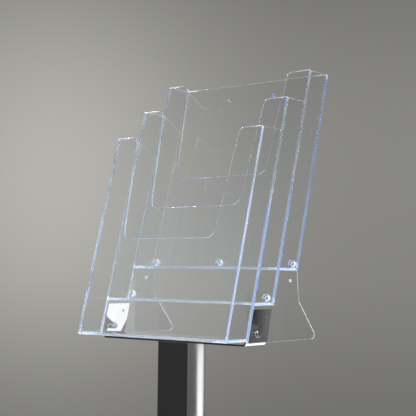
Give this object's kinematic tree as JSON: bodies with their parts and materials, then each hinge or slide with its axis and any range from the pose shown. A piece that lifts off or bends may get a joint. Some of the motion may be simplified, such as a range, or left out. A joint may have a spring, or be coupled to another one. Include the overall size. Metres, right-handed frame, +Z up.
{
  "type": "floor-standing brochure rack",
  "caption": "Clear leaning brochure rack with stepped A4 pockets, held by a bent steel strap on a rectangular post with a floor plate.",
  "frame": {"origin": "on the floor, under the centre of the post and base plate", "axes": "+Z up, -Y to the front where the brochures are taken, +X to the reader's right"},
  "size_m": [0.3, 0.35, 1.2329],
  "materials": {
    "clear_sheet": "clear cast sheet, polished faces and blue-tinted edges",
    "clear_stud": "clear moulded",
    "polished_steel": "polished stainless steel",
    "satin_steel": "fine satin, along the post",
    "zinc_steel": "plain zinc plate",
    "base_steel": "satin, edges broken",
    "rubber": "matte black"
  },
  "bodies": {
    "root": {"back_panel": "clear_sheet", "back_stud_left": "clear_stud", "back_stud_middle": "clear_stud", "back_stud_right": "clear_stud", "base_pad_front_left": "rubber", "base_pad_front_right": "rubber", "base_pad_rear_left": "rubber", "base_pad_rear_right": "rubber", "base_plate": "base_steel", "base_screw_left": "zinc_steel", "base_screw_right": "zinc_steel", "cradle_strap": "polished_steel", "ear_nut_left": "polished_steel", "ear_nut_right": "polished_steel", "ear_screw_left": "polished_steel", "ear_screw_right": "polished_steel", "ear_washer_left": "polished_steel", "ear_washer_right": "polished_steel", "foot_left": "clear_sheet", "foot_right": "clear_sheet", "post": "satin_steel", "post_bottom_block": "zinc_steel", "post_top_block": "zinc_steel", "strap_screw_left": "polished_steel", "strap_screw_right": "polished_steel", "tier1_cheek_left": "clear_sheet", "tier1_cheek_right": "clear_sheet", "tier1_floor": "clear_sheet", "tier1_front": "clear_sheet", "tier2_cheek_left": "clear_sheet", "tier2_cheek_right": "clear_sheet", "tier2_floor": "clear_sheet", "tier2_front": "clear_sheet", "tier2_stud_left": "clear_stud", "tier2_stud_right": "clear_stud", "tier3_cheek_left": "clear_sheet", "tier3_cheek_right": "clear_sheet", "tier3_floor": "clear_sheet", "tier3_front": "clear_sheet"}
  },
  "joints": []
}
